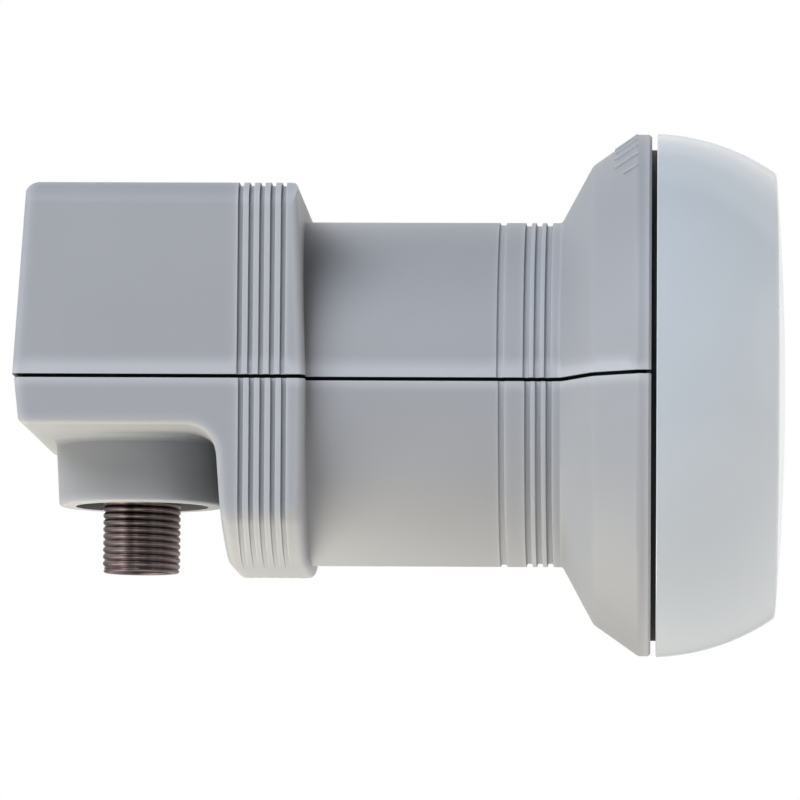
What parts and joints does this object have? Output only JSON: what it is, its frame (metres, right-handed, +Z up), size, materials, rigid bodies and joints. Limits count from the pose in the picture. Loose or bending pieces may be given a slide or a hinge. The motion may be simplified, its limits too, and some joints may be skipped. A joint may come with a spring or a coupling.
{
  "type": "satellite lnb",
  "caption": "Feed head for a satellite dish: round capped horn on a clamp neck, with a boxy converter housing behind and a threaded coaxial socket pointing down.",
  "frame": {"origin": "on the feed axis, in the middle of the plain clamp seat of the neck", "axes": "+X along the feed axis, out through the cap; +Z up; the socket points along -Z"},
  "size_m": [0.088, 0.0608, 0.0608],
  "materials": {
    "shell_plastic": "fine satin moulded light grey",
    "cap_plastic": "smooth glossy pale grey",
    "seal_rubber": "black rubber",
    "cast_metal": "as cast",
    "probe_brass": "drawn wire",
    "insulator_plastic": "white low loss plastic",
    "board_laminate": "green solder resist",
    "screw_steel": "zinc plated",
    "puck_ceramic": "sintered",
    "chip_plastic": "moulded black",
    "coil_ferrite": "dark ferrite",
    "socket_nickel": "dull nickel plate, dark with handling"
  },
  "bodies": {
    "root": {"upper_shell": "shell_plastic", "lower_shell": "shell_plastic", "feed_cap": "cap_plastic", "cap_seal": "seal_rubber", "feed_casting": "cast_metal", "vertical_probe": "probe_brass", "horizontal_probe": "probe_brass", "probe_sleeves": "insulator_plastic", "isolation_pin": "probe_brass", "circuit_board": "board_laminate", "shield_cover": "cast_metal", "absorber_pad": "seal_rubber", "cover_screws": "screw_steel", "tuning_screws": "screw_steel", "resonators": "puck_ceramic", "transistors": "chip_plastic", "control_chip": "chip_plastic", "voltage_regulator": "chip_plastic", "choke_coil": "coil_ferrite", "chip_capacitors": "puck_ceramic", "connector_body": "socket_nickel", "connector_insulator": "insulator_plastic", "connector_contact": "probe_brass", "connector_seal": "seal_rubber"}
  },
  "joints": []
}
